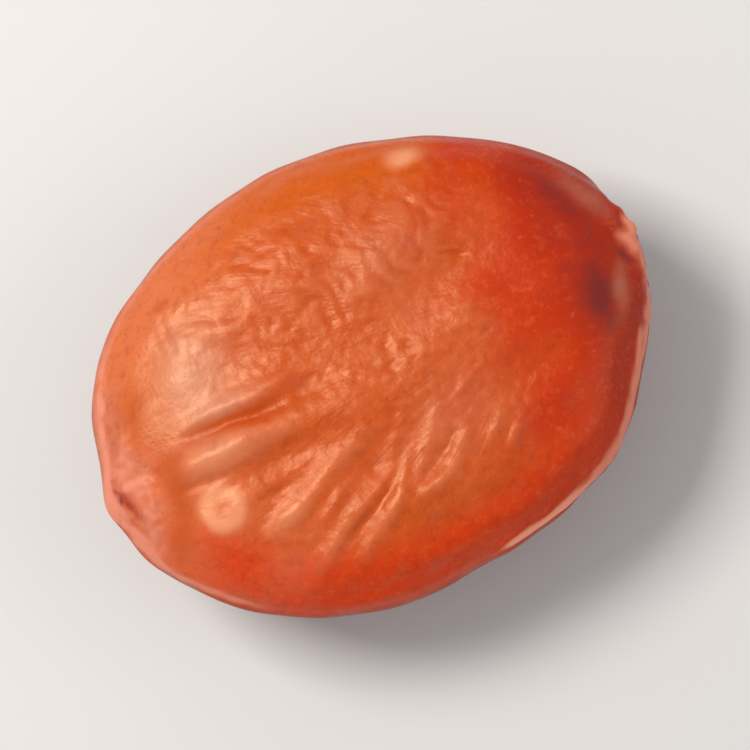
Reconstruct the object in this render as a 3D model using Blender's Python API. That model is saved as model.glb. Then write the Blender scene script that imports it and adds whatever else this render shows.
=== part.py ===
"""Sour jujube seed: one solid, lens-shaped, with a wrinkled face and a rounder back.

Metres, +Z up. The seed lies on its rounder back with the wrinkled face up. The hilum,
where it was attached, is the +X end and the chalaza is the -X end. The origin is under
the middle of the seed, on the surface that it rests on.
"""

import bmesh
import bpy
import numpy as np
from mathutils import Matrix

MM = 0.001

# Driving dimensions of the whole seed
LENGTH = 7.6 * MM
WIDTH = 5.8 * MM
THICKNESS = 2.85 * MM
FACE_RISE = 0.90 * MM
BACK_DROP = 1.92 * MM
REST_CUT = 0.05 * MM

# Section: how far each side stays level before it turns down, and how round it turns
FACE_LEVEL, FACE_ROUND = 1.6, 0.50
BACK_LEVEL, BACK_ROUND = 1.15, 0.56

# Rim: a keel all round, and a shallow gutter inside it on the face
KEEL_HEIGHT = 0.05 * MM
KEEL_SPREAD = 0.10
GUTTER_DEPTH = 0.03 * MM
GUTTER_PLACE, GUTTER_SPREAD = 0.34, 0.10
RIM_WAVE = 0.04 * MM
RIM_WAVE_TURN = 0.7

# Outline: its mean share of the ellipse, then waves round it (how many, share, degrees)
OUTLINE_MEAN = 0.9815
OUTLINE_WAVES = (
    (1, 0.0400, 122),
    (2, 0.0103, -74),
    (3, 0.0078, 14),
    (4, 0.0099, 17),
    (5, 0.0063, 5),
    (6, 0.0056, 12),
    (7, 0.0065, -7),
)

# Where the face's relief fades in from the rim, as the height of the unit direction
RELIEF_FADE = (0.18, 0.42)
CRINKLE_FADE = (0.40, 0.65)

# Middle ridge of the face, a little askew, and the hollow on each side of it
RIDGE_HEIGHT = 0.12 * MM
RIDGE_HALF_WIDTH = 0.17 * MM
RIDGE_MIDDLE, RIDGE_SLOPE = 0.08 * MM, 0.03
RIDGE_RISES, RIDGE_SINKS = (-0.92, -0.75), (0.30, 0.75)
RIDGE_LEFT = 0.05
HOLLOW_DEPTH = 0.07 * MM
HOLLOW_HALF_WIDTH = 0.55 * MM
HOLLOW_OFFSET = 0.78 * MM

# Furrows and wrinkles of the face: x and y of each end in mm, then height and half width
WRINKLES = (
    (-2.40, 0.28, -0.60, 0.16, -0.150, 0.085),
    (-2.45, 0.50, -0.90, 0.50, 0.055, 0.12),
    (-2.80, -0.28, -1.00, -0.36, -0.080, 0.11),
    (-1.95, -1.02, -0.45, -0.68, 0.070, 0.13),
    (-2.20, -1.24, -1.60, -1.20, 0.050, 0.14),
    (-1.65, -1.62, -0.70, -1.28, 0.070, 0.13),
    (-1.90, -1.94, -1.35, -1.70, 0.045, 0.10),
    (-1.05, -1.84, -0.40, -1.54, 0.070, 0.13),
    (-0.30, -1.25, 0.10, -1.00, 0.035, 0.10),
    (0.05, -1.66, 0.62, -1.28, 0.070, 0.13),
    (0.15, -1.02, 0.60, -0.72, 0.040, 0.10),
    (0.70, -1.40, 1.20, -1.14, 0.045, 0.10),
    (1.02, -1.66, 1.42, -1.38, 0.045, 0.10),
    (0.85, -0.96, 1.25, -0.64, 0.040, 0.10),
    (-2.25, 2.00, -1.60, 1.74, 0.035, 0.11),
    (-2.05, 1.52, -1.35, 1.22, 0.045, 0.11),
    (-1.50, 0.95, -0.80, 0.76, 0.035, 0.10),
    (-0.95, 1.80, -0.20, 1.18, 0.045, 0.11),
    (0.12, 1.62, 0.52, 1.10, 0.045, 0.11),
    (0.75, 1.74, 1.40, 1.36, 0.040, 0.11),
)
WRINKLE_FADE = 0.25 * MM

# Crinkles: finer waves across a fan that opens from here to the chalaza
FAN_MIDDLE = (2.6 * MM, 0.08 * MM)
CRINKLE_HEIGHT = 0.018 * MM
CRINKLE_ANGLE = 6.2
CRINKLE_START, CRINKLE_END = 1.2 * MM, 5.3 * MM

# Hilum: a notch along the rim with a raised lip above and below
HILUM_MIDDLE = 0.12 * MM
HILUM_DEPTH = 0.30 * MM
HILUM_HALF_LENGTH = 0.55 * MM
HILUM_HALF_HEIGHT = 0.15 * MM
HILUM_FADE = (0.75, 0.95)
LIP_HEIGHT = 0.08 * MM
LIP_OFFSET = 0.33 * MM
LIP_HALF_HEIGHT = 0.16 * MM
LIP_HALF_LENGTH = 0.66 * MM

# Chalaza: a blunt point at the other end, and a round dot on the face near it
POINT_MIDDLE = 0.15 * MM
POINT_HEIGHT = 0.12 * MM
POINT_HALF_WIDTH = 0.28 * MM
POINT_FADE = (0.80, 0.97)
DOT_HEIGHT = 0.08 * MM
DOT_RADIUS = 0.26 * MM
DOT_PLACE = (-2.48 * MM, -0.70 * MM)

# Colour and gloss of the seed coat
COAT_COLOUR = (0.62, 0.115, 0.03, 1)
COAT_ROUGHNESS = 0.35

# Mesh: strips round the long axis, the share of them on the face, and rings along it
STRIPS = 128
FACE_SHARE = 0.68
STRIP_LEAN = 0.20
RINGS = 46
RING_LEAN = 0.20


def bump(distance, half_width):
    """1 on the line and falling away smoothly beside it."""
    return np.exp(-((distance / half_width) ** 2))


def ease(start, end, value):
    """0 before start, 1 after end, and smooth between."""
    part = np.clip((value - start) / (end - start), 0, 1)
    return part * part * (3 - 2 * part)


def window(start, end, fade, value):
    """1 between start and end, fading to 0 outside them."""
    return ease(start - fade, start + fade, value) * (1 - ease(end - fade, end + fade, value))


def outline_factor(angle):
    """Share of the ellipse's radius that the outline has at this angle round it."""
    factor = np.full_like(angle, OUTLINE_MEAN)
    for count, share, degrees in OUTLINE_WAVES:
        factor += share * np.cos(count * (angle - np.radians(degrees)))
    return factor


def from_ridge(x, y):
    """Distance to one side of the ridge line."""
    return y - RIDGE_MIDDLE - RIDGE_SLOPE * x


def ridge_and_hollows(x, y):
    """Raised line along the middle of the face, between two shallow hollows."""
    along = x / (LENGTH / 2)
    side = from_ridge(x, y)
    shown = ease(*RIDGE_RISES, along) * (1 - (1 - RIDGE_LEFT) * ease(*RIDGE_SINKS, along))
    height = RIDGE_HEIGHT * (0.8 + 0.2 * np.cos(7 * along + 0.6))
    hollows = bump(side - HOLLOW_OFFSET, HOLLOW_HALF_WIDTH)
    hollows += bump(side + HOLLOW_OFFSET, HOLLOW_HALF_WIDTH)
    middle = 1 - ease(0.3, 0.8, np.abs(along))
    return shown * (height * bump(side, RIDGE_HALF_WIDTH) - HOLLOW_DEPTH * hollows * middle)


def wrinkles(x, y):
    """Raised or sunken lines between two points each, smooth across and faded at the ends."""
    relief = np.zeros_like(x)
    for line in WRINKLES:
        start, end = np.array([line[:2], line[2:4]]) * MM
        height, half_width = np.array(line[4:]) * MM
        length = np.hypot(*(end - start))
        ux, uy = (end - start) / length
        along = (x - start[0]) * ux + (y - start[1]) * uy
        across = (y - start[1]) * ux - (x - start[0]) * uy
        relief += height * bump(across, half_width) * window(0, length, WRINKLE_FADE, along)
    return relief


def crinkles(x, y):
    """Low waves between the wrinkles, one for every few degrees of the fan."""
    ahead = FAN_MIDDLE[0] - x
    reach = np.hypot(ahead, y - FAN_MIDDLE[1])
    angle = np.arctan2(y - FAN_MIDDLE[1], ahead)
    bend = 1.3 * np.sin(2.1 * reach / MM) + 0.8 * np.sin(3.7 * reach / MM + 6 * angle)
    wave = np.sin(2 * np.pi * np.degrees(angle) / CRINKLE_ANGLE + bend)
    patchy = 0.6 + 0.4 * np.sin(2.6 * reach / MM - 8 * angle)
    return CRINKLE_HEIGHT * wave * patchy * window(CRINKLE_START, CRINKLE_END, 0.5 * MM, reach)


def dot(x, y):
    """Small round knob on the face near the chalaza."""
    return DOT_HEIGHT * bump(np.hypot(x - DOT_PLACE[0], y - DOT_PLACE[1]), DOT_RADIUS)


def seed_surface(directions):
    """The seed's surface for unit directions: an uneven lens plus its relief."""
    dx, dy, dz = directions.T
    level = np.clip(1 - dz**2, 0, 1)
    angle = np.arctan2(dy, dx)
    outline = 1 + level * (outline_factor(angle) - 1)
    keel = KEEL_HEIGHT * bump(dz, KEEL_SPREAD)
    x = dx * (LENGTH / 2 * outline + keel)
    y = dy * (WIDTH / 2 * outline + keel)
    face = FACE_RISE * (1 - level**FACE_LEVEL) ** FACE_ROUND
    back = BACK_DROP * (1 - level**BACK_LEVEL) ** BACK_ROUND
    relief = ridge_and_hollows(x, y) + wrinkles(x, y) + dot(x, y)
    face += relief * ease(*RELIEF_FADE, dz) + crinkles(x, y) * ease(*CRINKLE_FADE, dz)
    face -= GUTTER_DEPTH * bump(dz - GUTTER_PLACE, GUTTER_SPREAD)
    z = np.where(dz > 0, face, -back) + RIM_WAVE * np.sin(2 * angle + RIM_WAVE_TURN) * level**2
    return np.stack([x, y, z], axis=1)


def hilum_notch(points, directions):
    """Sinks the notch into the +X end and raises its two lips."""
    x, y, z = points.T
    at_end = ease(*HILUM_FADE, directions[:, 0])
    side = y - HILUM_MIDDLE
    notch = bump(side, HILUM_HALF_LENGTH) * bump(z, HILUM_HALF_HEIGHT)
    lips = bump(z - LIP_OFFSET, LIP_HALF_HEIGHT) + bump(z + LIP_OFFSET, LIP_HALF_HEIGHT)
    lips *= bump(side, LIP_HALF_LENGTH)
    x = x + at_end * (LIP_HEIGHT * lips - HILUM_DEPTH * notch)
    return np.stack([x, y, z], axis=1)


def chalaza_point(points, directions):
    """Draws the -X end out to a low blunt point."""
    x, y, z = points.T
    at_end = ease(*POINT_FADE, -directions[:, 0])
    x = x - at_end * POINT_HEIGHT * bump(np.hypot(y - POINT_MIDDLE, z), POINT_HALF_WIDTH)
    return np.stack([x, y, z], axis=1)


def rest_and_fit(points):
    """Flattens the lowest spot, centres the seed over it and fits the driving sizes."""
    floor = points[:, 2].min() + REST_CUT
    rested = np.array(points)
    rested[:, 2] = np.maximum(rested[:, 2], floor)
    low, high = rested.min(axis=0), rested.max(axis=0)
    origin = np.array([(low[0] + high[0]) / 2, (low[1] + high[1]) / 2, low[2]])
    return (rested - origin) * np.array([LENGTH, WIDTH, THICKNESS]) / (high - low)


def unit_directions(sphere):
    """Each vertex's direction, with more strips on the face and closer rings at the hilum."""
    dx, dy, dz = np.array([vertex.co for vertex in sphere.verts], np.float64).T
    turn = np.mod(np.arctan2(dz, dy), 2 * np.pi)
    share = FACE_SHARE * 2 * np.pi
    turn = np.interp(turn, [0, share, 2 * np.pi], [0, np.pi, 2 * np.pi])
    turn += np.where(turn < np.pi, STRIP_LEAN * np.sin(2 * turn), 0)
    polar = np.arccos(np.clip(dx, -1, 1))
    polar -= RING_LEAN * np.sin(polar)
    radius = np.sin(polar)
    return np.stack([np.cos(polar), radius * np.cos(turn), radius * np.sin(turn)], axis=1)


def seed_material():
    """Orange-brown glossy seed coat."""
    material = bpy.data.materials.new("seed_coat")
    material.use_nodes = True
    coat = material.node_tree.nodes["Principled BSDF"]
    coat.inputs["Base Color"].default_value = COAT_COLOUR
    coat.inputs["Roughness"].default_value = COAT_ROUGHNESS
    coat.inputs["Metallic"].default_value = 0
    return material


def make_seed():
    """One closed body: a sphere with its poles at the two ends, shaped by the formulas."""
    sphere = bmesh.new()
    bmesh.ops.create_uvsphere(sphere, u_segments=STRIPS, v_segments=RINGS, radius=1)
    bmesh.ops.transform(sphere, matrix=Matrix.Rotation(np.pi / 2, 4, "Y"), verts=sphere.verts)
    directions = unit_directions(sphere)
    points = seed_surface(directions)
    points = hilum_notch(points, directions)
    points = chalaza_point(points, directions)
    points = rest_and_fit(points)
    for vertex, point in zip(sphere.verts, points):
        vertex.co = point
    bmesh.ops.recalc_face_normals(sphere, faces=sphere.faces)
    mesh = bpy.data.meshes.new("seed")
    sphere.to_mesh(mesh)
    sphere.free()
    mesh.shade_smooth()
    mesh.materials.append(seed_material())
    return bpy.data.objects.new("seed", mesh)


def clear_scene():
    """Removes every object that the file opens with."""
    for item in list(bpy.data.objects):
        bpy.data.objects.remove(item)


def main():
    """Builds the seed in a collection of its own."""
    clear_scene()
    collection = bpy.data.collections.new("sour_jujube_seed")
    bpy.context.scene.collection.children.link(collection)
    collection.objects.link(make_seed())


main()
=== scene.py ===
"""Sour jujube seed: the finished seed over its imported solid, and the stage that it is shown on.

Metres, +Z up. The seed lies on its rounded back, the wrinkled face up. The hilum, where it was
attached, is the +X end and the chalaza is the -X end. The shape's own numbers are in millimetres.
"""

import math

import bpy
import numpy as np
from bpy.props import FloatProperty, FloatVectorProperty, PointerProperty
from mathutils import Matrix, Vector


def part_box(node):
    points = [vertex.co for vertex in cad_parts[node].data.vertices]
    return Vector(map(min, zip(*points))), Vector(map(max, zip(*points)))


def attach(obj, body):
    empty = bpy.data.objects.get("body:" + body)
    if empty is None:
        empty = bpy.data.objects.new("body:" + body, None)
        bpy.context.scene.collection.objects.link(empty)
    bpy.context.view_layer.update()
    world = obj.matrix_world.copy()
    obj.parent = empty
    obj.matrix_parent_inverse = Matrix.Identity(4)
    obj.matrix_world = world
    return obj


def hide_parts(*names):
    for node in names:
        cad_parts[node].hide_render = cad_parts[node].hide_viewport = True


bl_info = {
    "name": "Sour Jujube Seed",
    "version": (1, 0, 0),
    "blender": (4, 5, 0),
    "location": "3D View > Sidebar > Seed",
    "description": "Builds a sour jujube seed with its wrinkled coat, and a plain stage for it",
    "category": "Add Mesh",
}

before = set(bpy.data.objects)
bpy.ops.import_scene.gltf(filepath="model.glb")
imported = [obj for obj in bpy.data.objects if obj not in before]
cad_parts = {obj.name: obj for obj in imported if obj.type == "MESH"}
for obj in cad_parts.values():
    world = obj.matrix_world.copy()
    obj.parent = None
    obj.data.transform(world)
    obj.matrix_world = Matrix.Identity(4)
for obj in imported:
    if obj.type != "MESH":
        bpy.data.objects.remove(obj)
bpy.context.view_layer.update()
LOW, HIGH = (np.array(corner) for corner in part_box("seed"))
SIZE = HIGH - LOW
MM = 0.001

# Outline: its mean share of the ellipse, then waves round it (how many, share, degrees)
OUTLINE_MEAN = 0.9815
OUTLINE_WAVES = (
    (1, 0.0400, 122),
    (2, 0.0103, -74),
    (3, 0.0078, 14),
    (4, 0.0099, 17),
    (5, 0.0063, 5),
    (6, 0.0056, 12),
    (7, 0.0065, -7),
)
# Where it is flatter (start, end, fade, share) and fuller (middle, half width, share), in degrees
FLATTER_EDGE = (-98, -57, 9, 0.022)
FULLER_EDGE = (-130, 13, 0.020)

# Section: each side's height, how far it stays level before it turns down, and how round it turns
FACE_RISE, FACE_LEVEL, FACE_ROUND = 0.90, 1.6, 0.50
BACK_DROP, BACK_LEVEL, BACK_ROUND = 1.92, 1.15, 0.56

# Long furrows and folds of the face: x and y of each end, then height and half width
FOLDS = (
    (-2.42, 0.26, -1.45, 0.15, -0.072, 0.14),
    (-1.75, 0.16, -0.60, 0.10, -0.040, 0.17),
    (-2.48, 0.45, -0.95, 0.36, 0.036, 0.12),
    (-3.26, 0.88, -3.62, 0.03, -0.045, 0.05),
    (-3.18, 0.78, -3.50, 0.14, 0.032, 0.07),
    (-3.54, 0.15, -3.20, 0.02, 0.030, 0.06),
    (-3.62, 0.14, -3.50, -0.26, -0.055, 0.06),
    (-3.26, 0.10, -3.42, -0.68, 0.042, 0.09),
    (-2.75, -0.30, -2.20, -0.34, -0.035, 0.07),
    (-2.30, -0.50, -0.70, -0.42, -0.040, 0.20),
    (-1.95, -0.84, -1.62, -0.80, -0.045, 0.08),
    (-1.95, -1.22, -0.50, -0.73, 0.050, 0.13),
    (-1.45, -1.44, -0.98, -1.17, 0.030, 0.07),
    (-1.85, -2.00, -0.60, -1.33, 0.046, 0.12),
    (-1.25, -1.80, -0.50, -1.42, -0.030, 0.06),
    (-1.20, -2.05, -0.36, -1.60, 0.045, 0.11),
    (-1.95, -1.24, -1.55, -1.12, 0.035, 0.13),
    (-0.22, -1.76, 0.25, -1.60, 0.040, 0.10),
    (0.10, -1.70, 0.70, -1.22, 0.036, 0.13),
    (0.10, -1.43, 0.50, -1.20, -0.030, 0.06),
    (0.02, -1.33, 0.54, -0.80, 0.030, 0.11),
    (0.78, -0.80, 1.04, -0.64, 0.025, 0.08),
    (0.90, -1.50, 1.20, -1.22, 0.035, 0.08),
    (1.06, -1.70, 1.35, -1.44, 0.040, 0.08),
    (-0.55, -1.62, -0.10, -1.22, 0.022, 0.07),
    (-0.30, -1.12, 0.02, -0.76, 0.022, 0.07),
    (-2.25, 2.00, -1.60, 1.74, 0.020, 0.12),
    (-2.05, 1.52, -1.35, 1.22, 0.025, 0.12),
    (-0.95, 1.80, -0.20, 1.18, 0.022, 0.12),
    (0.75, 1.74, 1.40, 1.36, 0.020, 0.12),
)
# Small pits of the face: x, y and radius
PITS = (
    (0.25, 0.17, 0.07),
    (0.50, 0.07, 0.06),
    (0.20, -0.10, 0.07),
    (1.57, 0.79, 0.09),
    (1.12, 0.96, 0.07),
    (-0.56, -1.12, 0.08),
    (-0.03, -0.62, 0.08),
    (-1.27, 1.48, 0.10),
    (-0.35, 1.12, 0.07),
    (-0.10, 1.70, 0.08),
)
RIDGE_MIDDLE, RIDGE_SLOPE = -0.21, -0.058
FAN_MIDDLE = (2.6, 0.08)
KNOB_PLACE = (-2.48, -0.70)
HILUM_MIDDLE, POINT_MIDDLE = 0.12, 0.10

# Oval patches of colour: x, y, long half, short half, turn in degrees and strength
# Dark stains round the hilum; the last row is painted shade along the chalaza's dark line
STAINS_AND_SHADE = (
    (2.98, 1.00, 0.22, 0.45, 20, 0.50),
    (2.92, -0.50, 0.22, 0.42, -14, 0.70),
    (3.00, 0.20, 0.50, 0.95, 0, 0.40),
    (3.42, -0.12, 0.05, 0.13, 20, 0.60),
    (-3.56, -0.06, 0.30, 0.06, -72, 0.45),
)
SCARS = (
    (3.20, -0.48, 0.36, 0.11, 68, 1.0),
    (3.33, 0.80, 0.46, 0.15, -66, 0.90),
)
# Painted highlights on the shiny ridges beside the chalaza
CHALAZA_HIGHLIGHTS = (
    (-3.38, 0.46, 0.46, 0.17, 62, 0.50),
    (-3.38, 0.10, 0.24, 0.11, -15, 0.40),
    (-3.40, -0.38, 0.62, 0.22, 76, 0.58),
)
# Pale flecks, partly pale skin and partly painted highlight on small bumps
FLECKS_AND_HIGHLIGHTS = (
    (1.50, 2.29, 0.27, 0.17, -12, 0.75),
    (0.60, -0.07, 0.12, 0.10, 0, 0.42),
    (-1.85, -1.20, 0.40, 0.22, 20, 0.42),
)
# Pale bloom on the face: the coat's own paler haze, and painted highlight on the plateau's shoulder
# near the chalaza and on the crests beside the slot (first three rows)
BLOOMS_AND_HIGHLIGHTS = (
    (-2.10, 0.98, 0.70, 0.46, 70, 1.0),
    (-2.20, -0.06, 0.42, 0.16, -3, 0.95),
    (-1.90, 0.45, 0.50, 0.12, -4, 0.70),
    (0.75, 1.15, 0.80, 0.45, 0, 0.22),
    (0.60, -1.00, 0.80, 0.50, 20, 0.20),
    (-2.00, -1.75, 0.35, 0.30, 0, 0.20),
)
# The dark line at the chalaza, painted shade from the last row of the stain table, where pale skin is
# left out
CLEFT = (-3.56, -0.06, 0.30, 0.08, -72, 0.80)

# Small marks' colours, with full opacity: the back's, the freckles' and the specks' own, painted shade
# in the gutter and the slot, and a painted highlight at the seam's start
BACK_CLOUD = (0.36, 0.030, 0.008, 1)
BACK_DARK = (0.15, 0.009, 0.005, 1)
BACK_LIGHT = (0.44, 0.060, 0.016, 1)
FRECKLE_DARK = (0.34, 0.022, 0.0, 1)
FRECKLE_LIGHT = (0.80, 0.150, 0.040, 1)
SPECK_DARK = (0.32, 0.020, 0.0, 1)
SPECK_LIGHT = (0.80, 0.180, 0.060, 1)
GUTTER_SHADE = (0.50, 0.076, 0.006, 1)
SLOT_SHADE = (0.50, 0.060, 0.0, 1)
SEAM_HIGHLIGHT = (1.0, 0.41, 0.26, 1)

# Grid: strips round the long axis, rings along it, and the half sizes that space them
STRIPS, RINGS = 480, 204
HALF_LENGTH, HALF_WIDTH, HALF_HEIGHT = 3.8, 2.9, 1.4

# Stage: colours of the lights and of the studio, and the camera's lens and sensor
LIGHT_COLOUR = (1.0, 0.93, 0.84)
STUDIO_COLOUR = (1.0, 0.985, 0.97, 1)
LENS, SENSOR = 180, 36


class SeedShape(bpy.types.PropertyGroup):
    """Sizes of the seed and of its relief."""

    length: FloatProperty(
        name="Length",
        description="From the hilum to the chalaza",
        default=SIZE[0],
        unit="LENGTH",
    )
    width: FloatProperty(
        name="Width",
        description="Across the face at its widest",
        default=SIZE[1],
        unit="LENGTH",
    )
    thickness: FloatProperty(
        name="Thickness",
        description="From the flat spot under the seed to the top of its face",
        default=SIZE[2],
        unit="LENGTH",
    )
    face_rise: FloatProperty(
        name="Face Rise",
        description="Height of the face above the rim",
        default=FACE_RISE * MM,
        unit="LENGTH",
    )
    back_drop: FloatProperty(
        name="Back Drop",
        description="Depth of the back below the rim",
        default=BACK_DROP * MM,
        unit="LENGTH",
    )
    keel: FloatProperty(
        name="Keel",
        description="How far the rim's edge stands out",
        default=0.04 * MM,
        unit="LENGTH",
    )
    ridge: FloatProperty(
        name="Ridge",
        description="Height of the line along the middle of the face",
        default=0.11 * MM,
        unit="LENGTH",
    )
    folds: FloatProperty(
        name="Folds",
        description="How strong the long furrows and folds are, 1 as they grew",
        default=1.0,
        min=0.0,
    )
    creases: FloatProperty(
        name="Creases",
        description="Height of the short creases that fan out across the face",
        default=0.0086 * MM,
        unit="LENGTH",
    )
    pebbles: FloatProperty(
        name="Pebbles",
        description="Height of the uneven grain on the upper half of the face",
        default=0.0078 * MM,
        unit="LENGTH",
    )
    notch: FloatProperty(
        name="Hilum Notch",
        description="Depth of the notch where the seed was attached",
        default=0.30 * MM,
        unit="LENGTH",
    )
    knob: FloatProperty(
        name="Knob",
        description="Height of the small round knob on the face",
        default=0.08 * MM,
        unit="LENGTH",
    )


class SeedColours(bpy.types.PropertyGroup):
    """Colours of the seed coat."""

    coat: FloatVectorProperty(
        name="Coat",
        description="Orange-red of the face",
        subtype="COLOR",
        default=(0.56, 0.078, 0.008),
    )
    # Also the colour of the painted highlight on the tops of the folds and grain
    coat_light: FloatVectorProperty(
        name="Light Coat",
        description="Pale pinkish orange of the folds' tops and of the chalaza half",
        subtype="COLOR",
        default=(0.72, 0.205, 0.090),
    )
    # Also the colour of the painted shade in the furrows and the grain's pits
    furrow: FloatVectorProperty(
        name="Furrow",
        description="Clear orange down in the furrows",
        subtype="COLOR",
        default=(0.50, 0.058, 0.002),
    )
    margin: FloatVectorProperty(
        name="Margin",
        description="Golden orange along the upper edge of the face",
        subtype="COLOR",
        default=(0.60, 0.098, 0.001),
    )
    low_margin: FloatVectorProperty(
        name="Low Margin",
        description="Deep clear orange along the lower edge of the face",
        subtype="COLOR",
        default=(0.68, 0.036, 0.0),
    )
    hilum_half: FloatVectorProperty(
        name="Hilum Half",
        description="Smooth deep red-orange of the half nearer the hilum",
        subtype="COLOR",
        default=(0.55, 0.028, 0.0),
    )
    hilum_end: FloatVectorProperty(
        name="Hilum End",
        description="Darker red next to the hilum",
        subtype="COLOR",
        default=(0.38, 0.015, 0.003),
    )
    # Stain round the hilum, also the colour of the painted shade in its notch and in the chalaza's
    # crack
    stain_and_shade: FloatVectorProperty(
        name="Stain",
        description="Dark purple-brown round the hilum",
        subtype="COLOR",
        default=(0.16, 0.013, 0.017),
    )
    shoulder: FloatVectorProperty(
        name="Shoulder",
        description="Dull pink of the chalaza end",
        subtype="COLOR",
        default=(0.60, 0.170, 0.090),
    )
    scar: FloatVectorProperty(
        name="Scar",
        description="Dull brownish pink of the two patches beside the hilum",
        subtype="COLOR",
        default=(0.44, 0.125, 0.075),
    )
    # Pale skin, also the colour of the painted highlights on the seam, on the hilum's upper lip and
    # beside the chalaza
    pale_and_highlight: FloatVectorProperty(
        name="Pale Skin",
        description="Pale pink skin of the seam along the rim, the chalaza's rim and the hilum's lip",
        subtype="COLOR",
        default=(0.80, 0.26, 0.17),
    )
    # Pale flecks and knob, partly pale skin and partly painted highlight
    fleck_and_highlight: FloatVectorProperty(
        name="Flecks",
        description="Warm pale skin of the knob and of the flecks on the face",
        subtype="COLOR",
        default=(0.84, 0.33, 0.17),
    )
    # Pale bloom, also the colour of the painted highlight near the chalaza and on the crests beside
    # the slot
    bloom_and_highlight: FloatVectorProperty(
        name="Bloom",
        description="Pale bloom on the face near the chalaza",
        subtype="COLOR",
        default=(0.64, 0.28, 0.17),
    )
    back: FloatVectorProperty(
        name="Back",
        description="Deep red-brown of the rounded back",
        subtype="COLOR",
        default=(0.25, 0.014, 0.005),
    )


class SeedStage(bpy.types.PropertyGroup):
    """The floor, the lights and the camera."""

    floor_width: FloatProperty(
        name="Floor Width",
        description="Side of the square floor",
        default=0.6,
        unit="LENGTH",
    )
    floor_colour: FloatVectorProperty(
        name="Floor",
        description="Pale floor",
        subtype="COLOR",
        default=(0.74, 0.75, 0.775),
    )
    azimuth: FloatProperty(
        name="Azimuth",
        description="Camera's turn round the seed",
        subtype="ANGLE",
        default=math.radians(12),
    )
    elevation: FloatProperty(
        name="Elevation",
        description="Camera's height above the horizon",
        subtype="ANGLE",
        default=math.radians(80),
    )
    roll: FloatProperty(
        name="Roll",
        description="Camera's turn about its own view",
        subtype="ANGLE",
        default=math.radians(-39),
    )
    view_width: FloatProperty(
        name="View Width",
        description="What the picture takes in at the seed",
        default=9.6 * MM,
        unit="LENGTH",
    )
    key_power: FloatProperty(
        name="Key Light",
        description="Power of the large soft light at the upper left",
        default=0.029,
        unit="POWER",
    )
    fill_power: FloatProperty(
        name="Fill Light",
        description="Power of the weak light opposite",
        default=0.010,
        unit="POWER",
    )
    surround: FloatProperty(
        name="Surround",
        description="Brightness of the pale studio all round",
        default=0.42,
        min=0.0,
    )


# Curves that the shapes are made of


def bump(distance, half_width):
    """1 on the line, and e to the minus (distance over half width) squared beside it."""
    return np.exp(-((distance / half_width) ** 2))


def ease(start, end, value):
    """0 before start, 1 after end, and 3 times the square less twice the cube of the share between."""
    part = np.clip((value - start) / (end - start), 0, 1)
    return part * part * (3 - 2 * part)


def window(start, end, fade, value):
    """1 between start and end: an ease up round the start times an ease down round the end."""
    return ease(start - fade, start + fade, value) * (1 - ease(end - fade, end + fade, value))


def waves(points, length, seed, count=30):
    """Uneven swells about as long as length: cosine waves in seeded directions, added up."""
    random = np.random.default_rng(seed)
    way = random.normal(size=(count, points.shape[1]))
    way /= np.linalg.norm(way, axis=1, keepdims=True)
    way /= length * random.uniform(0.7, 1.4, (count, 1))
    start = random.uniform(0, 2 * np.pi, count)
    total = np.zeros(len(points))
    for heading, phase in zip(way, start):
        total += np.cos(2 * np.pi * (points @ heading) + phase)
    return total / math.sqrt(count / 2)


def billows(points, length, seed):
    """Round tops with soft valleys between them: the waves folded up at zero, mean 0."""
    folded = np.sqrt(waves(points, length, seed) ** 2 + 0.12)
    return 1.6 * np.tanh(folded / 1.6) - 0.78


def line_frame(x, y, line):
    """How far along a line between two points, how far beside it, and its length."""
    length = math.hypot(line[2] - line[0], line[3] - line[1])
    ux, uy = (line[2] - line[0]) / length, (line[3] - line[1]) / length
    along = (x - line[0]) * ux + (y - line[1]) * uy
    across = (y - line[1]) * ux - (x - line[0]) * uy
    return along, across, length


def spot(x, y, middle, long_half, short_half, degrees=0):
    """A round or oval patch: 1 in its middle, its long side turned by degrees."""
    turn = math.radians(degrees)
    along = (x - middle[0]) * math.cos(turn) + (y - middle[1]) * math.sin(turn)
    across = (y - middle[1]) * math.cos(turn) - (x - middle[0]) * math.sin(turn)
    return np.exp(-((along / long_half) ** 2) - (across / short_half) ** 2)


def patches(x, y, table):
    """Oval patches added up, each times its strength."""
    total = np.zeros_like(x)
    for left, up, long_half, short_half, degrees, strength in table:
        total += strength * spot(x, y, (left, up), long_half, short_half, degrees)
    return total


# The seed's surface


def outline_factor(angle):
    """Share of the ellipse's radius at this angle: a mean, cosine waves, a dent and a bulge."""
    factor = np.full_like(angle, OUTLINE_MEAN)
    for count, share, peak in OUTLINE_WAVES:
        factor += share * np.cos(count * (angle - math.radians(peak)))
    bearing = np.degrees(angle)
    start, end, fade, dent = FLATTER_EDGE
    middle, half_width, bulge = FULLER_EDGE
    factor -= dent * window(start, end, fade, bearing)
    return factor + bulge * bump(bearing - middle, half_width)


def middle_ridge(x, y, height):
    """Raised line along the face: sharp up to the middle, low and broad past it."""
    side = y - RIDGE_MIDDLE - RIDGE_SLOPE * x
    sharp = ease(-3.1, -2.5, x) * (1 - ease(-1.9, -0.5, x)) * bump(side, 0.24)
    broad = 0.22 * window(0.55, 1.6, 0.40, x) * bump(y + 0.19 - 0.19 * x, 0.24)
    return height * (sharp + broad)


def side_hollows(x, y):
    """A shallow hollow on each side of the ridge, faded towards both ends."""
    side = y - RIDGE_MIDDLE - RIDGE_SLOPE * x
    hollows = bump(side - 0.78, 0.55) + bump(side + 0.78, 0.55)
    return 0.07 * hollows * (1 - ease(1.1, 3.0, np.abs(x)))


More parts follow.
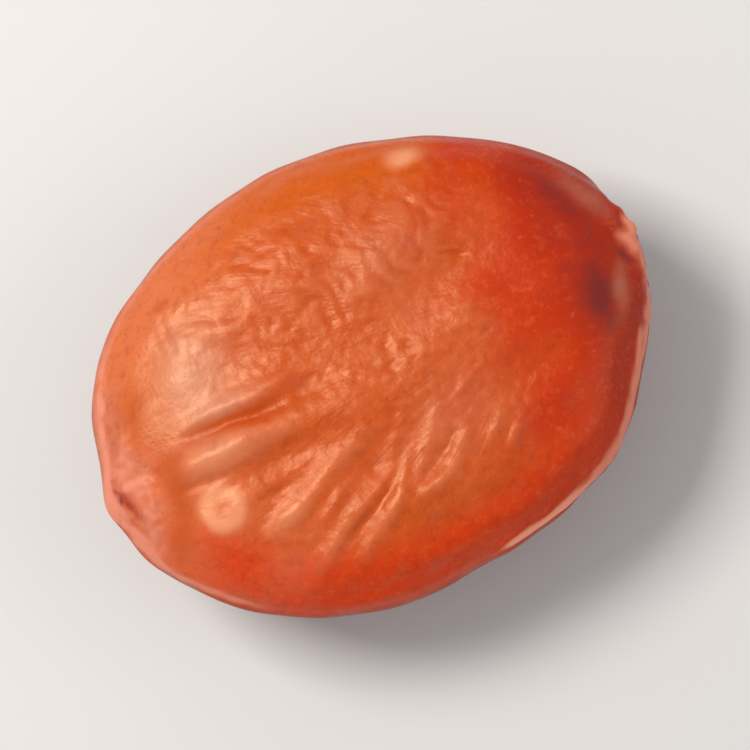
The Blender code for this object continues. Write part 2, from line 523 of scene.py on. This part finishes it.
def long_folds(x, y):
    """Each raised or sunken line between two points, narrower and lower towards its ends."""
    relief = np.zeros_like(x)
    for line in FOLDS:
        along, across, length = line_frame(x, y, line)
        middle = window(0, length, 0.17 + 0.20 * length, along)
        relief += line[4] * bump(across, line[5] * (0.7 + 0.3 * middle)) * middle
    return relief


def fan_coordinates(x, y):
    """Along and across the fan that opens towards the chalaza: distance and angle from its middle."""
    ahead = FAN_MIDDLE[0] - x
    reach = np.hypot(ahead, y - FAN_MIDDLE[1])
    angle = np.arctan2(y - FAN_MIDDLE[1], ahead)
    return np.stack([reach, 3.6 * angle], axis=1)


def small_pits(x, y):
    """Small round hollows here and there, 1 deep."""
    total = np.zeros_like(x)
    for left, up, radius in PITS:
        total += bump(np.hypot(x - left, y - up), radius)
    return total


def fan_creases(x, y):
    """Short folds along the fan: billows drawn out nine times as long as they are wide."""
    fan = fan_coordinates(x, y)
    plan = np.stack([x, y], axis=1)
    bend = np.stack([waves(plan, 0.9, 5), waves(plan, 0.9, 6)], axis=1)
    folds = 0.80 * billows(fan * [0.11, 1.0] + 0.03 * bend, 0.44, 11)
    folds *= 1 - 0.85 * spot(x, y, (-1.75, 0.05), 0.95, 0.30, -3)
    lower = 0.75 * window(-2.05, -0.45, 0.25, y) * window(-2.5, 1.3, 0.5, x)
    middle = 0.40 * window(-0.45, 0.8, 0.25, y) * window(-2.4, 1.8, 0.5, x)
    fine = 0.26 * waves(plan, 0.19, 13, 60)
    fine *= window(-2.1, 0.8, 0.3, y) * window(-2.6, 1.9, 0.6, x)
    return folds * np.maximum(lower, middle) + fine


def pebbled_grain(x, y):
    """Uneven grain of the upper half: fine waves, longer across the seed than along it."""
    plan = np.stack([x, y], axis=1)
    bent = plan + 0.06 * np.stack([waves(plan, 0.7, 21), waves(plan, 0.7, 22)], axis=1)
    bent = (bent + np.stack([0.3 * y, -0.3 * x], axis=1)) * [1.0, 0.62]
    fine = 0.55 * waves(bent, 0.30, 23, 60) + 0.45 * waves(bent, 0.19, 25, 60)
    grain = 1.6 * np.tanh((fine - 0.3 * (fine**2 - 0.5)) / 1.6)
    upper = window(0.60, 2.30, 0.35, y) * window(-2.5, 1.9, 0.5, x)
    return grain * upper * (1 - 0.7 * spot(x, y, (-2.25, 0.95), 0.55, 0.45))


def knob(x, y, height):
    """Small round knob near the chalaza: a bump less a narrower one, which dimples its top."""
    away = np.hypot(x - KNOB_PLACE[0], y - KNOB_PLACE[1])
    return height * (bump(away, 0.33) - 0.40 * bump(away, 0.19))


def face_lines(x, y, shape):
    """Every ridge, fold, pit and crease of the face, and the skin's grain alone."""
    plan = np.stack([x, y], axis=1)
    bent_x = x + 0.02 * waves(plan, 0.9, 31)
    bent_y = y + 0.010 * waves(plan, 0.8, 32)
    relief = middle_ridge(bent_x, bent_y, shape.ridge / MM)
    relief += shape.folds * long_folds(bent_x, bent_y)
    relief += knob(x, y, shape.knob / MM)
    creases, pebbles, pits = fan_creases(x, y), pebbled_grain(x, y), small_pits(x, y)
    relief += shape.creases / MM * creases + shape.pebbles / MM * pebbles - 0.025 * pits
    return relief, creases + pebbles - 1.5 * pits


def seed_surface(directions, shape):
    """An uneven lens: a unit direction's x and y times the half sizes, the outline and the keel.

    With level as the square of the direction's distance from the upright axis, the height is 1 less
    a power of level, to another power: flattened on the face, rounder on the back. The face's lines
    and swells are added, its hollows taken away, and the rim rises and falls by a slow sine.
    """
    dx, dy, dz = directions.T
    level = np.clip(1 - dz**2, 0, 1)
    angle = np.arctan2(dy, dx)
    outline = 1 + level * (outline_factor(angle) - 1)
    keel = shape.keel / MM * bump(dz, 0.10)
    keel *= 1 + 0.25 * waves(directions, 0.25, 41)
    keel += 0.03 * rim_seam(directions)
    x = dx * (shape.length / MM / 2 * outline + keel)
    y = dy * (shape.width / MM / 2 * outline + keel)
    face = shape.face_rise / MM * (1 - level**FACE_LEVEL) ** FACE_ROUND
    back = shape.back_drop / MM * (1 - level**BACK_LEVEL) ** BACK_ROUND
    lines, skin = np.stack(face_lines(x, y, shape)) * ease(0.18, 0.46, dz)
    sunk = side_hollows(x, y) * ease(0.18, 0.46, dz) + 0.02 * bump(dz - 0.34, 0.10)
    swell = 0.012 * waves(directions, 0.30, 42) * ease(0.1, 0.4, np.abs(dz))
    z = np.where(dz > 0, face + lines - sunk + swell, swell - back)
    z += 0.04 * np.sin(2 * angle + 0.7) * level**2
    return np.stack([x, y, z], axis=1), lines, skin


def rim_seam(directions):
    """The seam's band along the rim: a bump across it, wider above and tapered at its start.

    It runs from the middle of one side to the hilum, and rises over the hilum's lip.
    """
    dx, dy, dz = directions.T
    angle = np.degrees(np.arctan2(dy, dx))
    over_lip = bump(angle - 1, 8)
    wander = 0.02 * np.sin(angle / 7) + 0.12 + 0.12 * over_lip
    wander += 0.012 * waves(directions, 0.2, 43)
    width = (0.075 + 0.03 * ease(-84, -50, angle)) * (1 + 0.15 * waves(directions, 0.14, 44))
    width *= 0.45 + 0.55 * ease(-89, -72, angle)
    width *= np.where(dz < wander, 0.58 * (1 + 0.18 * waves(directions, 0.09, 47)), 1)
    return window(-84, 9, 4, angle) * bump(dz - wander, width)


def hilum_notch(points, directions, depth):
    """Sinks the notch into the +X end with a slit in it, and raises two ragged lips."""
    x, y, z = points.T
    at_end = ease(0.75, 0.95, directions[:, 0])
    side = y - HILUM_MIDDLE
    notch = bump(side, 0.55) * bump(z, 0.15)
    slit = bump(side, 0.34) * bump(z + 0.02 * np.sin(9 * y), 0.05)
    lips = (bump(z - 0.33, 0.16) + bump(z + 0.33, 0.16)) * bump(side, 0.66)
    ragged = 1 + 0.22 * waves(points, 0.28, 51)
    x = x + at_end * (0.08 * lips * ragged - depth / MM * notch - 0.10 * slit)
    return np.stack([x, y, z], axis=1), at_end * (notch + slit), at_end * lips * ragged


def chalaza_point(points, directions):
    """Draws the -X end out to a low blunt point, with a fine crack half round its foot."""
    x, y, z = points.T
    at_end = ease(0.80, 0.97, -directions[:, 0])
    away = np.hypot(y - POINT_MIDDLE, z)
    crack = bump(away - 0.30, 0.022) * ease(-0.1, 0.2, z) * ease(0.25, -0.05, y - POINT_MIDDLE)
    x = x - at_end * (0.10 * bump(away, 0.36) - 0.025 * crack)
    return np.stack([x, y, z], axis=1), at_end * bump(away, 0.26), at_end * crack


def rest_and_fit(points, shape):
    """Flattens the lowest spot, centres the seed over it and fits the sizes, in metres."""
    rested = np.array(points)
    rested[:, 2] = np.maximum(rested[:, 2], rested[:, 2].min() + 0.05)
    low, high = rested.min(axis=0), rested.max(axis=0)
    origin = np.array([(low[0] + high[0]) / 2, (low[1] + high[1]) / 2, low[2]])
    return (rested - origin) * [shape.length, shape.width, shape.thickness] / (high - low)


# The grid


def even_steps(parameter, path, weight, count):
    """Cuts a path into count steps of equal length, shorter where the weight is high."""
    steps = np.linalg.norm(np.diff(path, axis=0), axis=1) * (weight[1:] + weight[:-1]) / 2
    travelled = np.concatenate([[0], np.cumsum(steps)])
    return np.interp(np.linspace(0, travelled[-1], count + 1), travelled, parameter)


def strip_turns():
    """Turns round the long axis: most on the face, and close together at the rim."""
    turn = np.linspace(0, 2 * np.pi, 4001)
    up = np.sin(turn)
    level = 1 - up**2
    face = FACE_RISE * (1 - level**FACE_LEVEL) ** FACE_ROUND
    back = BACK_DROP * (1 - level**BACK_LEVEL) ** BACK_ROUND
    path = np.stack([HALF_WIDTH * np.cos(turn), np.where(up > 0, face, -back)], axis=1)
    weight = np.where(up > 0, 1.0, 0.42) + 1.6 * bump(up, 0.16)
    return even_steps(turn, path, weight, STRIPS)[:-1]


def ring_slants():
    """Angles from the hilum end to the chalaza end, close together at both ends."""
    slant = np.linspace(0, np.pi, 4001)
    path = np.stack([HALF_LENGTH * np.cos(slant), HALF_HEIGHT * np.sin(slant)], axis=1)
    weight = 1 + 1.1 * bump(slant, 0.35) + 0.7 * bump(slant - np.pi, 0.35)
    return even_steps(slant, path, weight, RINGS)[1:-1]


def grid_directions():
    """Unit directions ring by ring from +X to -X, with one more for each pole."""
    turn, slant = np.meshgrid(strip_turns(), ring_slants())
    rings = np.stack(
        [np.cos(slant), np.sin(slant) * np.cos(turn), np.sin(slant) * np.sin(turn)], axis=-1
    ).reshape(-1, 3)
    return np.concatenate([[[1, 0, 0]], rings, [[-1, 0, 0]]])


def grid_faces():
    """Quads between the rings and a fan of triangles at each pole, all facing outwards."""
    rings = RINGS - 1
    here = np.arange(STRIPS)
    beside = np.roll(here, -1)
    first = 1 + STRIPS * np.arange(rings - 1)[:, None]
    after = first + STRIPS
    quads = np.stack([first + here, first + beside, after + beside, after + here], -1)
    last = 1 + STRIPS * (rings - 1)
    hilum_fan = np.stack([np.zeros_like(here), 1 + beside, 1 + here], -1)
    chalaza_fan = np.stack([np.full_like(here, last + STRIPS), last + here, last + beside], -1)
    return hilum_fan, quads.reshape(-1, 4)[:, ::-1], chalaza_fan


def closed_mesh(name, points, fans_and_quads):
    """Puts the grid's points and faces into a new mesh and shades it smooth."""
    faces = [face for group in fans_and_quads for face in group.tolist()]
    mesh = bpy.data.meshes.new(name)
    mesh.from_pydata(points.tolist(), [], faces)
    mesh.shade_smooth()
    return mesh


def paint(mesh, name, values):
    """Keeps one value for each vertex under this name, for the material to read."""
    layer = mesh.attributes.new(name, "FLOAT", "POINT")
    layer.data.foreach_set("value", np.ascontiguousarray(values, dtype=np.float32))


# Where each colour lies


def pale_skin_and_highlights(y, directions, lips, point):
    """Pale dry skin and painted highlight: pale skin on the chalaza's tip and rim, pale skin with a
    painted highlight along the seam, and a painted highlight on the hilum's upper lip.
    """
    height = directions[:, 2] - 0.15 - 0.08 * ease(-0.1, 0.5, directions[:, 1])
    uneven = 1 + 0.16 * waves(directions, 0.12, 45)
    tip_rim = 0.66 * bump(height, 0.09 * uneven) * ease(-0.58, -0.85, directions[:, 0])
    upper_lip = 0.3 * lips * bump(y - 0.05, 0.34)
    skin = 0.92 * rim_seam(directions) + tip_rim + upper_lip + 0.75 * point
    return np.clip(skin * uneven, 0, 1)


def chalaza_highlights(x, y):
    """Soft pink painted highlights on the shiny ridges beside the chalaza: one above it, a short one
    across, a broad one below.
    """
    return patches(x, y, CHALAZA_HIGHLIGHTS) * (1 + 0.16 * waves(np.stack([x, y], axis=1), 0.16, 46))


def pale_flecks_and_highlights(x, y):
    """Warm pale marks on the face, partly pale skin and partly painted highlight on small bumps: the
    flecks, and the knob's ring and top.
    """
    away = np.hypot(x - KNOB_PLACE[0], y - KNOB_PLACE[1])
    return patches(x, y, FLECKS_AND_HIGHLIGHTS) + 0.62 * bump(away - 0.21, 0.13) + 0.20 * bump(away, 0.15)


def face_zones(x, y, drift):
    """Zones of the face from 0 to 1, where a colour of its own takes over from the coat."""
    plan = np.stack([x, y], axis=1)
    shoulder = ease(2.9, 3.4, -x + 0.10 * waves(plan, 0.6, 62)) * ease(-1.2, -0.2, y)
    along, across, length = line_frame(x, y, (-2.45, 0.31, -1.00, 0.05))
    # Painted shade: darker orange down the gutter inside the rim at the chalaza end
    gutter_shade = bump(x + 2.78 + 0.22 * (y - 0.45) ** 2, 0.20) * window(-1.0, 1.05, 0.35, y)
    gutter_shade += 0.85 * spot(x, y, (-2.92, 0.86), 0.30, 0.24, 60)
    return {
        "hilum_half": ease(0.6, 2.5, x - 0.15 * y + drift),
        "hilum_end": ease(1.9, 3.3, x + 0.5 * drift),
        "pale_side": ease(1.2, 3.0, 0.45 * y - x + 0.5 * drift),
        "shoulder": shoulder * np.clip(0.85 + 0.15 * waves(plan, 0.30, 63), 0, 1),
        # Painted shade: darker orange down the slot above the ridge
        "slot_shade": bump(across, 0.10) * window(0, length, 0.42, along),
        "gutter_shade": np.clip(gutter_shade, 0, 1),
        # Pale bloom with painted highlight
        "bloom_and_highlight": np.clip(patches(x, y, BLOOMS_AND_HIGHLIGHTS), 0, 1),
        "scar": np.clip(patches(x, y, SCARS), 0, 1),
    }


def paint_seed(mesh, points, directions, reliefs, marks):
    """Stores the masks that the coat's material mixes its colours by."""
    x, y = points[:, 0], points[:, 1]
    dx, dy, dz = directions.T
    lines, skin = reliefs
    notch, lips, point, crack = marks
    face = ease(-0.06, 0.16, dz)
    drift = 0.22 * waves(np.stack([x, y], axis=1), 1.1, 61)
    # Stain round the hilum; in its notch partly stain and partly painted shade, and painted shade in
    # the chalaza's crack and dark line
    stain_and_shade = np.clip(patches(x, y, STAINS_AND_SHADE), 0, 1.2) * face + 0.9 * notch + 0.75 * crack
    # Pale skin, with painted highlights on the seam, the hilum's upper lip and the ridges beside the
    # chalaza
    pale_and_highlight = pale_skin_and_highlights(y, directions, lips, point) + chalaza_highlights(x, y) * face
    # Painted highlight at the seam's start
    seam_start_highlight = rim_seam(directions) * bump(np.degrees(np.arctan2(dy, dx)) + 76, 16)
    fan = fan_coordinates(x, y)
    masks = {name: zone * face for name, zone in face_zones(x, y, drift).items()}
    masks |= {
        "face": face,
        "edge": face * (1 - ease(0.52, 0.76, dz)),
        "upper": ease(-1.2, 1.2, y + drift),
        # Heights of the relief and grain, which the material turns into painted highlight on tops and
        # painted shade in hollows
        "relief": np.clip(lines / 0.09, -1.5, 1.2),
        "skin": np.clip(skin, -1.5, 1.5),
        "stain_and_shade": np.clip(stain_and_shade, 0, 1),
        "pale_and_highlight": np.clip(pale_and_highlight - patches(x, y, [CLEFT]), 0, 1),
        "seam_start_highlight": np.clip(seam_start_highlight, 0, 1),
        "fleck_and_highlight": np.clip(pale_flecks_and_highlights(x, y) * ease(0.02, 0.12, dz), 0, 1),
        "fan": ease(0.9, 2.4, fan[:, 0]),
        "fan_along": fan[:, 0],
        "fan_across": fan[:, 1],
    }
    for name, values in masks.items():
        paint(mesh, name, values)


# Material nodes


def add_node(tree, kind, inputs=None, **settings):
    """Adds a node, sets its options, then fills or links each input by its name or number."""
    made = tree.nodes.new(kind)
    for name, value in settings.items():
        setattr(made, name, value)
    for socket, value in (inputs or {}).items():
        if isinstance(value, bpy.types.NodeSocket):
            tree.links.new(value, made.inputs[socket])
        else:
            made.inputs[socket].default_value = value
    return made


def mask(tree, name):
    """One of the values that the seed keeps for each vertex."""
    return add_node(tree, "ShaderNodeAttribute", attribute_name=name).outputs["Fac"]


def sums(tree, operation, first, second=0.5):
    """One arithmetic step."""
    return add_node(tree, "ShaderNodeMath", {0: first, 1: second}, operation=operation).outputs[0]


def spread(tree, value, start, end, low=0.0, high=1.0):
    """Stretches the part of value between start and end smoothly over low to high."""
    made = add_node(
        tree,
        "ShaderNodeMapRange",
        {"Value": value, 1: start, 2: end, 3: low, 4: high},
        interpolation_type="SMOOTHSTEP",
    )
    return made.outputs[0]


def grain(tree, where, scale, detail=3.0, roughness=0.55, distortion=0.0):
    """Cloudy noise with this many patches to a unit."""
    made = add_node(
        tree,
        "ShaderNodeTexNoise",
        {
            "Vector": where,
            "Scale": scale,
            "Detail": detail,
            "Roughness": roughness,
            "Distortion": distortion,
        },
    )
    return made.outputs["Fac"]


def over(tree, factor, under, top):
    """Lays the top colour over the one under it by factor."""
    made = add_node(tree, "ShaderNodeMix", {0: factor, 6: under, 7: top}, data_type="RGBA")
    return made.outputs[2]


def lay(tree, colour, layers):
    """Lays each layer's colour over those before it, by the layer's factor."""
    for factor, top in layers:
        colour = over(tree, factor, colour, top)
    return colour


def weaker(tree, name, share):
    """A mask at this share of its strength."""
    return sums(tree, "MULTIPLY", mask(tree, name), share)


def torn(tree, name, ragged):
    """A mask with a ragged edge."""
    return sums(tree, "ADD", mask(tree, name), ragged)


def rgba(colour):
    """A colour with full opacity."""
    return (*colour, 1.0)


def seed_places(tree):
    """Two ways to say where a point is: in millimetres, and along the fan of creases."""
    place = add_node(tree, "ShaderNodeTexCoord").outputs["Object"]
    solid = add_node(tree, "ShaderNodeMapping", {"Vector": place, "Scale": (1000, 1000, 1000)})
    along = weaker(tree, "fan_along", 0.14)
    fan = add_node(tree, "ShaderNodeCombineXYZ", {0: along, 1: mask(tree, "fan_across")})
    return solid.outputs[0], fan.outputs[0]


def back_colour(tree, cloud, mottle, colours):
    """Clouded red-brown of the back."""
    layers = (
        (spread(tree, cloud, 0.35, 0.7), BACK_CLOUD),
        (spread(tree, mottle, 0.50, 0.75, 0.0, 0.5), BACK_DARK),
        (spread(tree, mottle, 0.46, 0.26, 0.0, 0.3), BACK_LIGHT),
    )
    return lay(tree, rgba(colours.back), layers)


def face_ground(tree, cloud, mottle, colours):
    """Mottled orange of the face, with its margin, its redder hilum half and its pink shoulder."""
    light, furrow = rgba(colours.coat_light), rgba(colours.furrow)
    margin = over(tree, mask(tree, "upper"), rgba(colours.low_margin), rgba(colours.margin))
    layers = (
        (spread(tree, cloud, 0.38, 0.66, 0.0, 0.15), light),
        (weaker(tree, "edge", 0.90), margin),
        (weaker(tree, "pale_side", 0.45), light),
        (spread(tree, mottle, 0.50, 0.78, 0.0, 0.24), light),
        (spread(tree, mottle, 0.46, 0.24, 0.0, 0.35), furrow),
        (mask(tree, "hilum_half"), rgba(colours.hilum_half)),
        (mask(tree, "hilum_end"), rgba(colours.hilum_end)),
        (mask(tree, "shoulder"), rgba(colours.shoulder)),
    )
    return lay(tree, rgba(colours.coat), layers)


def face_texture(tree, ground, solid, fan, colours):
    """Freckles, specks and streaks, pale bloom with painted highlight, then painted highlight on the
    tops of the folds and grain and painted shade in the furrows, the pits, the gutter and the slot.
    """
    light, furrow = rgba(colours.coat_light), rgba(colours.furrow)
    freckle = grain(tree, solid, 6.0, 3.0, 0.6, 0.5)
    speck = grain(tree, solid, 15.0, 2.0, 0.6)
    streak = sums(tree, "MULTIPLY", grain(tree, fan, 9.0, 3.0, 0.6), mask(tree, "fan"))
    skin, relief = mask(tree, "skin"), mask(tree, "relief")
    layers = (
        (spread(tree, freckle, 0.52, 0.72, 0.0, 0.30), FRECKLE_DARK),
        (spread(tree, freckle, 0.47, 0.28, 0.0, 0.20), FRECKLE_LIGHT),
        (spread(tree, speck, 0.58, 0.74, 0.0, 0.30), SPECK_DARK),
        (spread(tree, speck, 0.42, 0.27, 0.0, 0.20), SPECK_LIGHT),
        (spread(tree, streak, 0.54, 0.74, 0.0, 0.20), furrow),
        # Pale bloom with painted highlight
        (weaker(tree, "bloom_and_highlight", 0.80), rgba(colours.bloom_and_highlight)),
        # Painted highlight on the tops of the folds and grain, painted shade in the furrows and pits
        (spread(tree, skin, 0.0, 1.1, 0.0, 0.20), light),
        (spread(tree, skin, -0.1, -1.1, 0.0, 0.36), furrow),
        (spread(tree, relief, 0.05, 0.8, 0.0, 0.50), light),
        (spread(tree, relief, -0.08, -0.8, 0.0, 0.75), furrow),
        # Painted shade in the gutter
        (weaker(tree, "gutter_shade", 0.75), GUTTER_SHADE),
        # Painted shade in the slot
        (weaker(tree, "slot_shade", 0.85), SLOT_SHADE),
    )
    return lay(tree, ground, layers)


def coat_marks(tree, coat, mottle, colours):
    """Stains with painted shade, scars, flecks and pale skin with painted highlights, and a painted
    highlight at the seam's start, laid over the coat.
    """
    ragged = sums(tree, "MULTIPLY", sums(tree, "SUBTRACT", mottle), 0.9)
    less_ragged = sums(tree, "MULTIPLY", ragged, 0.5)
    stain_and_shade = torn(tree, "stain_and_shade", ragged)
    pale_and_highlight = torn(tree, "pale_and_highlight", less_ragged)
    layers = (
        # Stain, with painted shade in the hilum's notch and the chalaza's crack
        (spread(tree, stain_and_shade, 0.02, 0.45, 0.0, 0.70), rgba(colours.hilum_end)),
        (spread(tree, stain_and_shade, 0.25, 0.95, 0.0, 0.85), rgba(colours.stain_and_shade)),
        (spread(tree, torn(tree, "scar", ragged), 0.0, 1.1, 0.0, 0.8), rgba(colours.scar)),
        (spread(tree, torn(tree, "fleck_and_highlight", less_ragged), 0.10, 0.85, 0.0, 0.9), rgba(colours.fleck_and_highlight)),
        # Pale skin with its painted highlights
        (spread(tree, pale_and_highlight, 0.18, 0.85, 0.0, 0.9), rgba(colours.pale_and_highlight)),
        # Painted highlight at the seam's start
        (spread(tree, mask(tree, "seam_start_highlight"), 0.15, 0.9, 0.0, 0.9), SEAM_HIGHLIGHT),
    )
    return lay(tree, coat, layers)


def coat_colour(tree, solid, fan, colours):
    """The orange face over the deeper back, with the marks on both."""
    cloud = grain(tree, solid, 0.9, 4.0, 0.6)
    mottle = grain(tree, solid, 3.2, 4.0, 0.6, 0.4)
    back = back_colour(tree, cloud, mottle, colours)
    ground = face_ground(tree, cloud, mottle, colours)
    front = face_texture(tree, ground, solid, fan, colours)
    return coat_marks(tree, over(tree, mask(tree, "face"), back, front), mottle, colours)


def coat_roughness(tree, solid, fan):
    """Glossy on the open coat, duller in the furrows, on pale skin and its painted highlights, and in
    the hilum.
    """
    rough = spread(tree, grain(tree, solid, 5.0, 4.0, 0.6), 0.3, 0.7, 0.30, 0.40)
    furrow = spread(tree, mask(tree, "relief"), -0.2, -1.2, 0.0, 0.12)
    dry = weaker(tree, "pale_and_highlight", 0.16)
    stained = weaker(tree, "stain_and_shade", 0.20)
    streak = sums(tree, "MULTIPLY", grain(tree, fan, 12.0, 2.0), mask(tree, "fan"))
    streak = spread(tree, streak, 0.5, 0.7, 0.0, 0.06)
    polish = spread(tree, mask(tree, "face"), 0.0, 1.0, -0.08, 0.0)
    for more in (furrow, dry, stained, streak, polish):
        rough = sums(tree, "ADD", rough, more)
    return rough


def coat_bump(tree, solid, fan):
    """Fine skin: tiny cells, hair-thin lines along the fan and a slow unevenness."""
    cells = add_node(tree, "ShaderNodeTexVoronoi", {"Vector": solid, "Scale": 16.0})
    fine = sums(tree, "MULTIPLY", cells.outputs["Distance"], 0.25)
    lines = sums(tree, "MULTIPLY", grain(tree, fan, 13.0, 3.0, 0.65), mask(tree, "fan"))
    lines = sums(tree, "MULTIPLY", lines, spread(tree, mask(tree, "bloom_and_highlight"), 0.0, 0.8, 0.7, 0.15))
    slow = sums(tree, "MULTIPLY", grain(tree, solid, 7.0, 4.0, 0.6, 0.3), 0.8)
    height = sums(tree, "ADD", sums(tree, "ADD", fine, lines), slow)
    skin = {"Height": height, "Strength": 0.7, "Distance": 0.012 * MM}
    return add_node(tree, "ShaderNodeBump", skin).outputs[0]


def seed_coat_material(colours):
    """The whole seed coat: colour, gloss and skin."""
    material = bpy.data.materials.new("jujube_seed_coat")
    material.use_nodes = True
    tree = material.node_tree
    solid, fan = seed_places(tree)
    shader = tree.nodes["Principled BSDF"]
    tree.links.new(coat_colour(tree, solid, fan, colours), shader.inputs["Base Color"])
    tree.links.new(coat_roughness(tree, solid, fan), shader.inputs["Roughness"])
    tree.links.new(coat_bump(tree, solid, fan), shader.inputs["Normal"])
    shader.inputs["Metallic"].default_value = 0.0
    shader.inputs["IOR"].default_value = 1.5
    shader.inputs["Specular IOR Level"].default_value = 0.40
    shader.inputs["Specular Tint"].default_value = (1.0, 0.76, 0.52, 1)
    shader.inputs["Subsurface Weight"].default_value = 0.05
    shader.inputs["Subsurface Radius"].default_value = (1.0, 0.30, 0.10)
    shader.inputs["Subsurface Scale"].default_value = 0.35 * MM
    return material


def floor_material(colours):
    """Matt pale floor with a faint unevenness."""
    material = bpy.data.materials.new("pale_floor")
    material.use_nodes = True
    tree = material.node_tree
    place = add_node(tree, "ShaderNodeTexCoord").outputs["Object"]
    cloud = grain(tree, place, 60.0, 3.0)
    shader = tree.nodes["Principled BSDF"]
    warm = tuple(0.975 * part for part in colours)
    shade = over(tree, spread(tree, cloud, 0.3, 0.7), rgba(colours), rgba(warm))
    tree.links.new(shade, shader.inputs["Base Color"])
    shader.inputs["Roughness"].default_value = 0.85
    return material


# Making the piece and the stage


def make_seed(shape, colours):
    """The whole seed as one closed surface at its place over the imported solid."""
    directions = grid_directions()
    points, lines, skin = seed_surface(directions, shape)
    points, notch, lips = hilum_notch(points, directions, shape.notch)
    points, point, crack = chalaza_point(points, directions)
    fitted = rest_and_fit(points, shape) + [0, 0, LOW[2]]
    mesh = closed_mesh("jujube_seed", fitted, grid_faces())
    paint_seed(mesh, points, directions, (lines, skin), (notch, lips, point, crack))
    mesh.materials.append(seed_coat_material(colours))
    return bpy.data.objects.new("jujube_seed", mesh)


def make_floor(stage):
    """A square sheet at the height that the seed rests on."""
    half = stage.floor_width / 2
    corners = half * np.array([(-1, -1, 0), (1, -1, 0), (1, 1, 0), (-1, 1, 0)])
    mesh = bpy.data.meshes.new("floor")
    mesh.from_pydata(corners.tolist(), [], [(0, 1, 2, 3)])
    mesh.materials.append(floor_material(stage.floor_colour))
    return bpy.data.objects.new("floor", mesh)


def facing(back, roll=0.0):
    """The turn that makes a camera or light look along -back, rolled about its own view."""
    look = (-back).to_track_quat("-Z", "Y")
    return look @ Matrix.Rotation(roll, 3, "Z").to_quaternion()


def make_camera(stage):
    """Long lens at the photograph's viewing angle, aimed at the seed's middle."""
    turn, rise = stage.azimuth, stage.elevation
    level = math.cos(rise)
    back = Vector((math.sin(turn) * level, -math.cos(turn) * level, math.sin(rise)))
    data = bpy.data.cameras.new("photo_view")
    data.lens = LENS
    data.sensor_width = SENSOR
    data.clip_start = MM
    data.clip_end = 10
    camera = bpy.data.objects.new("photo_view", data)
    distance = stage.view_width * LENS / SENSOR
    camera.rotation_mode = "QUATERNION"
    camera.rotation_quaternion = facing(back, stage.roll)
    camera.location = Vector((0, 0, SIZE[2] / 2)) + back * distance
    return camera, back


def make_light(name, way, distance, width, power):
    """A square soft light that shines on the seed from one way."""
    data = bpy.data.lights.new(name, "AREA")
    data.size = width
    data.energy = power
    data.color = LIGHT_COLOUR
    light = bpy.data.objects.new(name, data)
    light.rotation_mode = "QUATERNION"
    light.rotation_quaternion = facing(way.normalized())
    light.location = Vector((0, 0, SIZE[2] / 2)) + way.normalized() * distance
    light.visible_camera = False
    return light


def make_surround(brightness):
    """The pale studio all round."""
    world = bpy.data.worlds.new("studio")
    world.use_nodes = True
    background = world.node_tree.nodes["Background"]
    background.inputs["Color"].default_value = STUDIO_COLOUR
    background.inputs["Strength"].default_value = brightness
    return world


class JUJUBE_OT_build_seed(bpy.types.Operator):
    """Build the seed with its wrinkled coat"""

    bl_idname = "jujube.build_seed"
    bl_label = "Build Seed"
    bl_options = {"REGISTER", "UNDO"}

    def execute(self, context):
        """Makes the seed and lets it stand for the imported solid."""
        scene = context.scene
        seed = make_seed(scene.jujube_shape, scene.jujube_colours)
        scene.collection.objects.link(seed)
        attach(seed, "root")
        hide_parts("seed")
        return {"FINISHED"}


class JUJUBE_OT_build_stage(bpy.types.Operator):
    """Build the floor, the lights and the camera"""

    bl_idname = "jujube.build_stage"
    bl_label = "Build Stage"
    bl_options = {"REGISTER", "UNDO"}

    def execute(self, context):
        """Makes the stage round the seed."""
        scene = context.scene
        stage = scene.jujube_stage
        floor = make_floor(stage)
        camera, back = make_camera(stage)
        right = camera.rotation_quaternion @ Vector((1, 0, 0))
        up = camera.rotation_quaternion @ Vector((0, 1, 0))
        key_way = -0.70 * right + 0.40 * up + 0.9 * back
        fill_way = right + 0.8 * back
        key = make_light("key", key_way, distance=0.06, width=0.024, power=stage.key_power)
        fill = make_light("fill", fill_way, distance=0.08, width=0.05, power=stage.fill_power)
        for item in (floor, camera, key, fill):
            scene.collection.objects.link(item)
        scene.camera = camera
        scene.world = make_surround(stage.surround)
        scene.view_settings.view_transform = "Standard"
        return {"FINISHED"}


class JUJUBE_PT_seed(bpy.types.Panel):
    """Sizes, colours and buttons of the seed."""

    bl_idname = "JUJUBE_PT_seed"
    bl_label = "Sour Jujube Seed"
    bl_space_type = "VIEW_3D"
    bl_region_type = "UI"
    bl_category = "Seed"

    def draw(self, context):
        """Lists each group of values above the button that uses it."""
        scene = context.scene
        groups = (
            ((scene.jujube_shape, scene.jujube_colours), JUJUBE_OT_build_seed),
            ((scene.jujube_stage,), JUJUBE_OT_build_stage),
        )
        for values, button in groups:
            box = self.layout.box()
            for group in values:
                for name in group.__annotations__:
                    box.prop(group, name)
            box.operator(button.bl_idname)


CLASSES = (
    SeedShape,
    SeedColours,
    SeedStage,
    JUJUBE_OT_build_seed,
    JUJUBE_OT_build_stage,
    JUJUBE_PT_seed,
)


def register():
    """Registers the classes and hangs their values on the scene."""
    for item in CLASSES:
        bpy.utils.register_class(item)
    bpy.types.Scene.jujube_shape = PointerProperty(type=SeedShape)
    bpy.types.Scene.jujube_colours = PointerProperty(type=SeedColours)
    bpy.types.Scene.jujube_stage = PointerProperty(type=SeedStage)


def unregister():
    """Takes the values off the scene and the classes out again."""
    del bpy.types.Scene.jujube_stage
    del bpy.types.Scene.jujube_colours
    del bpy.types.Scene.jujube_shape
    for item in reversed(CLASSES):
        bpy.utils.unregister_class(item)


def main():
    """Builds the stage and the seed."""
    register()
    bpy.ops.jujube.build_stage()
    bpy.ops.jujube.build_seed()


if __name__ == "__main__":
    main()
